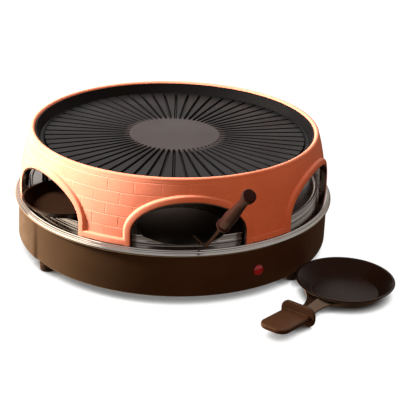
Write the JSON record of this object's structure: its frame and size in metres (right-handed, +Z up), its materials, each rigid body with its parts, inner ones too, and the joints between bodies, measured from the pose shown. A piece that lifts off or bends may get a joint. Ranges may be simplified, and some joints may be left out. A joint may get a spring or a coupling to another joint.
{
  "type": "raclette grill",
  "caption": "Round table grill with a brown base, an arched terracotta mantle, a ribbed plate on top, a pizza spatula and small pans.",
  "frame": {"origin": "centre of the bottom cover's underside, on the grill's axis", "axes": "+Z up along the grill's axis, -Y towards the front arch's side, +X to the right seen from the front"},
  "size_m": [0.5015, 0.5389, 0.2031],
  "materials": {
    "terracotta": "satin",
    "brown_plastic": "semi-gloss",
    "dark_plastic": "matt",
    "polished_steel": "polished",
    "plain_steel": "brushed",
    "coated_aluminium": "non-stick satin",
    "dark_enamel": "satin",
    "heater_sheath": "oxidised",
    "red_lens": "gloss",
    "white_ceramic": "matt",
    "black_rubber": "matt"
  },
  "bodies": {
    "base": {"base_housing": "brown_plastic", "bottom_cover": "plain_steel", "cover_screw_1": "plain_steel", "cover_screw_2": "plain_steel", "cover_screw_3": "plain_steel", "cover_screw_4": "plain_steel", "cover_screw_5": "plain_steel", "cover_screw_6": "plain_steel", "foot_1": "black_rubber", "foot_2": "black_rubber", "foot_3": "black_rubber", "foot_4": "black_rubber", "indicator_lens": "red_lens", "lamp_holder": "dark_plastic", "cord_gland": "black_rubber", "terminal_block": "white_ceramic", "thermal_cutout": "plain_steel", "steel_tray": "polished_steel", "baking_plate": "polished_steel", "lower_heater": "heater_sheath", "heater_saddle_1": "white_ceramic", "heater_saddle_2": "white_ceramic", "heater_saddle_3": "white_ceramic", "upper_heater": "heater_sheath", "heater_carrier": "plain_steel", "support_post_1": "plain_steel", "post_nut_1": "plain_steel", "carrier_nut_1": "plain_steel", "heater_clip_1": "plain_steel", "support_post_2": "plain_steel", "post_nut_2": "plain_steel", "carrier_nut_2": "plain_steel", "heater_clip_2": "plain_steel", "support_post_3": "plain_steel", "post_nut_3": "plain_steel", "carrier_nut_3": "plain_steel", "heater_clip_3": "plain_steel", "heater_bush_1": "white_ceramic", "heater_bush_2": "white_ceramic", "heater_bush_3": "white_ceramic", "heater_bush_4": "white_ceramic", "lead_lamp": "dark_plastic", "lead_lower_heater": "dark_plastic", "lead_upper_heater": "dark_plastic"},
    "mantle": {"mantle": "terracotta", "mantle_liner": "dark_enamel"},
    "grill_plate": {"grill_plate": "coated_aluminium"},
    "arch_dish": {"arch_dish": "coated_aluminium"},
    "spatula": {"spatula_blade": "plain_steel", "spatula_rod": "plain_steel", "spatula_grip": "brown_plastic"},
    "table_pan": {"pan_dish": "coated_aluminium", "pan_shank": "plain_steel", "pan_grip": "brown_plastic"}
  },
  "joints": [
    {"name": "mantle_lift", "type": "slide", "parent": "base", "child": "mantle", "axis": [0, 0, 1], "range_m": [0, 0.12]},
    {"name": "grill_plate_lift", "type": "slide", "parent": "mantle", "child": "grill_plate", "axis": [0, 0, 1], "range_m": [0, 0.06]},
    {"name": "arch_dish_slide", "type": "slide", "parent": "base", "child": "arch_dish", "axis": [-0.7965, -0.6046, 0], "range_m": [0, 0.12]},
    {"name": "spatula_slide", "type": "slide", "parent": "base", "child": "spatula", "axis": [0.1253, -0.9921, 0], "range_m": [0, 0.13]},
    {"name": "table_pan_slide", "type": "slide", "parent": "base", "child": "table_pan", "axis": [0.8222, -0.5692, 0], "range_m": [0, 0.1]}
  ]
}
